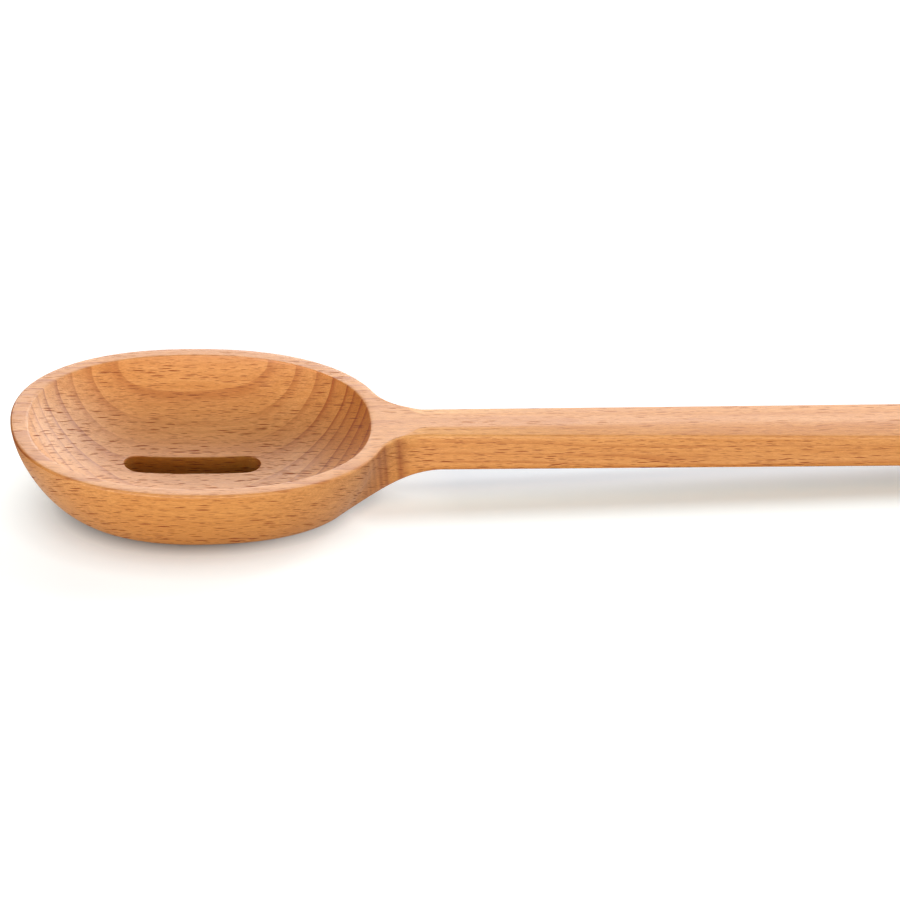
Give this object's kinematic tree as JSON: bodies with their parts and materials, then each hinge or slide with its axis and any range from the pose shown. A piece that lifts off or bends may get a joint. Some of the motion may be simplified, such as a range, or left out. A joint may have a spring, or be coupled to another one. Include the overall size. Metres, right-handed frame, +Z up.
{
  "type": "wooden slotted spoon",
  "caption": "Cooking spoon cut from one piece of beech: a shallow oval bowl with a round-ended draining slot in its floor, a filleted neck and a long handle that widens to a rounded end.",
  "frame": {"origin": "on the table, under the middle of the spoon's length, on its plane of symmetry", "axes": "+X along the spoon from the bowl to the handle's end, +Y across it, +Z up, with the bowl's hollow open upwards"},
  "size_m": [0.3298, 0.0612, 0.0195],
  "materials": {
    "oiled_beech": "sanded and lightly oiled beech, satin"
  },
  "bodies": {
    "root": {"slotted_spoon": "oiled_beech"}
  },
  "joints": []
}
